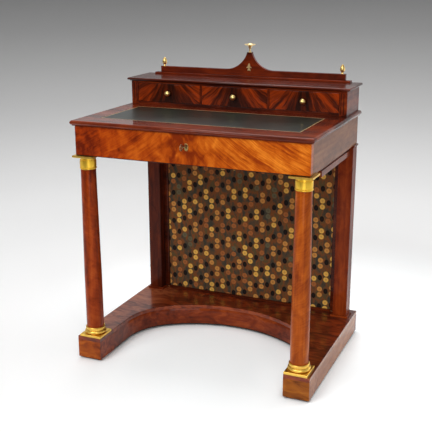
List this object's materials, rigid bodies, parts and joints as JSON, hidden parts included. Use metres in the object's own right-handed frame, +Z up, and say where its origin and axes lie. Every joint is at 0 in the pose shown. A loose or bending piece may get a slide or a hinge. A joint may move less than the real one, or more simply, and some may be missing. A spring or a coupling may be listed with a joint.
{
  "type": "writing desk",
  "caption": "Free-standing column writing desk: hollow-fronted base, frieze drawer with lock, leather-lined top, low case of small drawers and a shaped gallery.",
  "frame": {"origin": "on the floor, under the middle of the desk's overall box, the key in its lock included", "axes": "+Z up, -Y out of the front towards the sitter, +X to the right for someone facing the front"},
  "size_m": [0.76, 0.569, 0.9566],
  "materials": {
    "mahogany": "French-polished red-brown mahogany",
    "flame_veneer": "French-polished flame-figured mahogany veneer",
    "gilt_bronze": "fire-gilt bronze, burnished",
    "brass": "polished brass",
    "lock_steel": "aged steel",
    "drawer_lining": "unpolished oak and pine",
    "leather": "dark green-grey writing leather with a gilt line",
    "spotted_cloth": "dark woven cloth with round spots"
  },
  "bodies": {
    "carcass": {"base_top_board": "mahogany", "base_side_left": "mahogany", "base_side_right": "mahogany", "base_back_rail": "mahogany", "base_curved_apron": "mahogany", "base_end_blocks": "mahogany", "column_left": "mahogany", "column_right": "mahogany", "pilaster_left": "mahogany", "pilaster_right": "mahogany", "pilaster_plates": "mahogany", "cloth_beads": "mahogany", "frieze_side_left": "mahogany", "frieze_side_right": "mahogany", "frieze_back": "mahogany", "drawer_runner_left": "mahogany", "drawer_runner_right": "mahogany", "writing_top": "mahogany", "upper_side_left": "mahogany", "upper_side_right": "mahogany", "upper_bottom": "mahogany", "upper_front_rail": "mahogany", "upper_dividers": "mahogany", "cornice_board": "mahogany", "gallery_strip": "mahogany", "gallery_board": "mahogany", "foot_pads": "mahogany", "column_abaci": "gilt_bronze", "column_base_left": "gilt_bronze", "column_base_right": "gilt_bronze", "column_capital_left": "gilt_bronze", "column_capital_right": "gilt_bronze", "palmette_mount": "gilt_bronze", "centre_finial": "gilt_bronze", "acorn_finials": "brass", "base_rear_blocks": "drawer_lining", "back_panel": "drawer_lining", "frieze_corner_blocks": "drawer_lining", "drawer_guides": "drawer_lining", "drawer_kickers": "drawer_lining", "upper_back": "drawer_lining", "leather_inset": "leather", "back_cloth": "spotted_cloth"},
    "frieze_drawer": {"frieze_drawer_front": "flame_veneer", "frieze_drawer_sides": "drawer_lining", "frieze_drawer_back": "drawer_lining", "frieze_drawer_bottom": "drawer_lining", "lock_case": "lock_steel", "key_escutcheon": "brass"},
    "key": {"key": "lock_steel"},
    "lock_bolt": {"lock_bolt": "lock_steel"},
    "left_drawer": {"left_drawer_front": "flame_veneer", "left_drawer_box": "drawer_lining", "left_drawer_knob": "brass"},
    "centre_drawer": {"centre_drawer_front": "flame_veneer", "centre_drawer_box": "drawer_lining", "centre_drawer_knob": "brass"},
    "right_drawer": {"right_drawer_front": "flame_veneer", "right_drawer_box": "drawer_lining", "right_drawer_knob": "brass"}
  },
  "joints": [
    {"name": "frieze_drawer_slide", "type": "slide", "parent": "carcass", "child": "frieze_drawer", "axis": [0, -1, 0], "range_m": [0, 0.3]},
    {"name": "key_turn", "type": "hinge", "parent": "frieze_drawer", "child": "key", "pos_m": [0, -0.243, 0.713], "axis": [0, -1, 0], "range_deg": [0, 90]},
    {"name": "bolt_slide", "type": "slide", "parent": "frieze_drawer", "child": "lock_bolt", "axis": [0, 0, 1], "range_m": [0, 0.006]},
    {"name": "left_drawer_slide", "type": "slide", "parent": "carcass", "child": "left_drawer", "axis": [0, -1, 0], "range_m": [0, 0.09]},
    {"name": "centre_drawer_slide", "type": "slide", "parent": "carcass", "child": "centre_drawer", "axis": [0, -1, 0], "range_m": [0, 0.09]},
    {"name": "right_drawer_slide", "type": "slide", "parent": "carcass", "child": "right_drawer", "axis": [0, -1, 0], "range_m": [0, 0.09]}
  ],
  "couplings": [
    {"joint": "key_turn", "follows": "bolt_slide", "rad_per_m": 261.8}
  ]
}
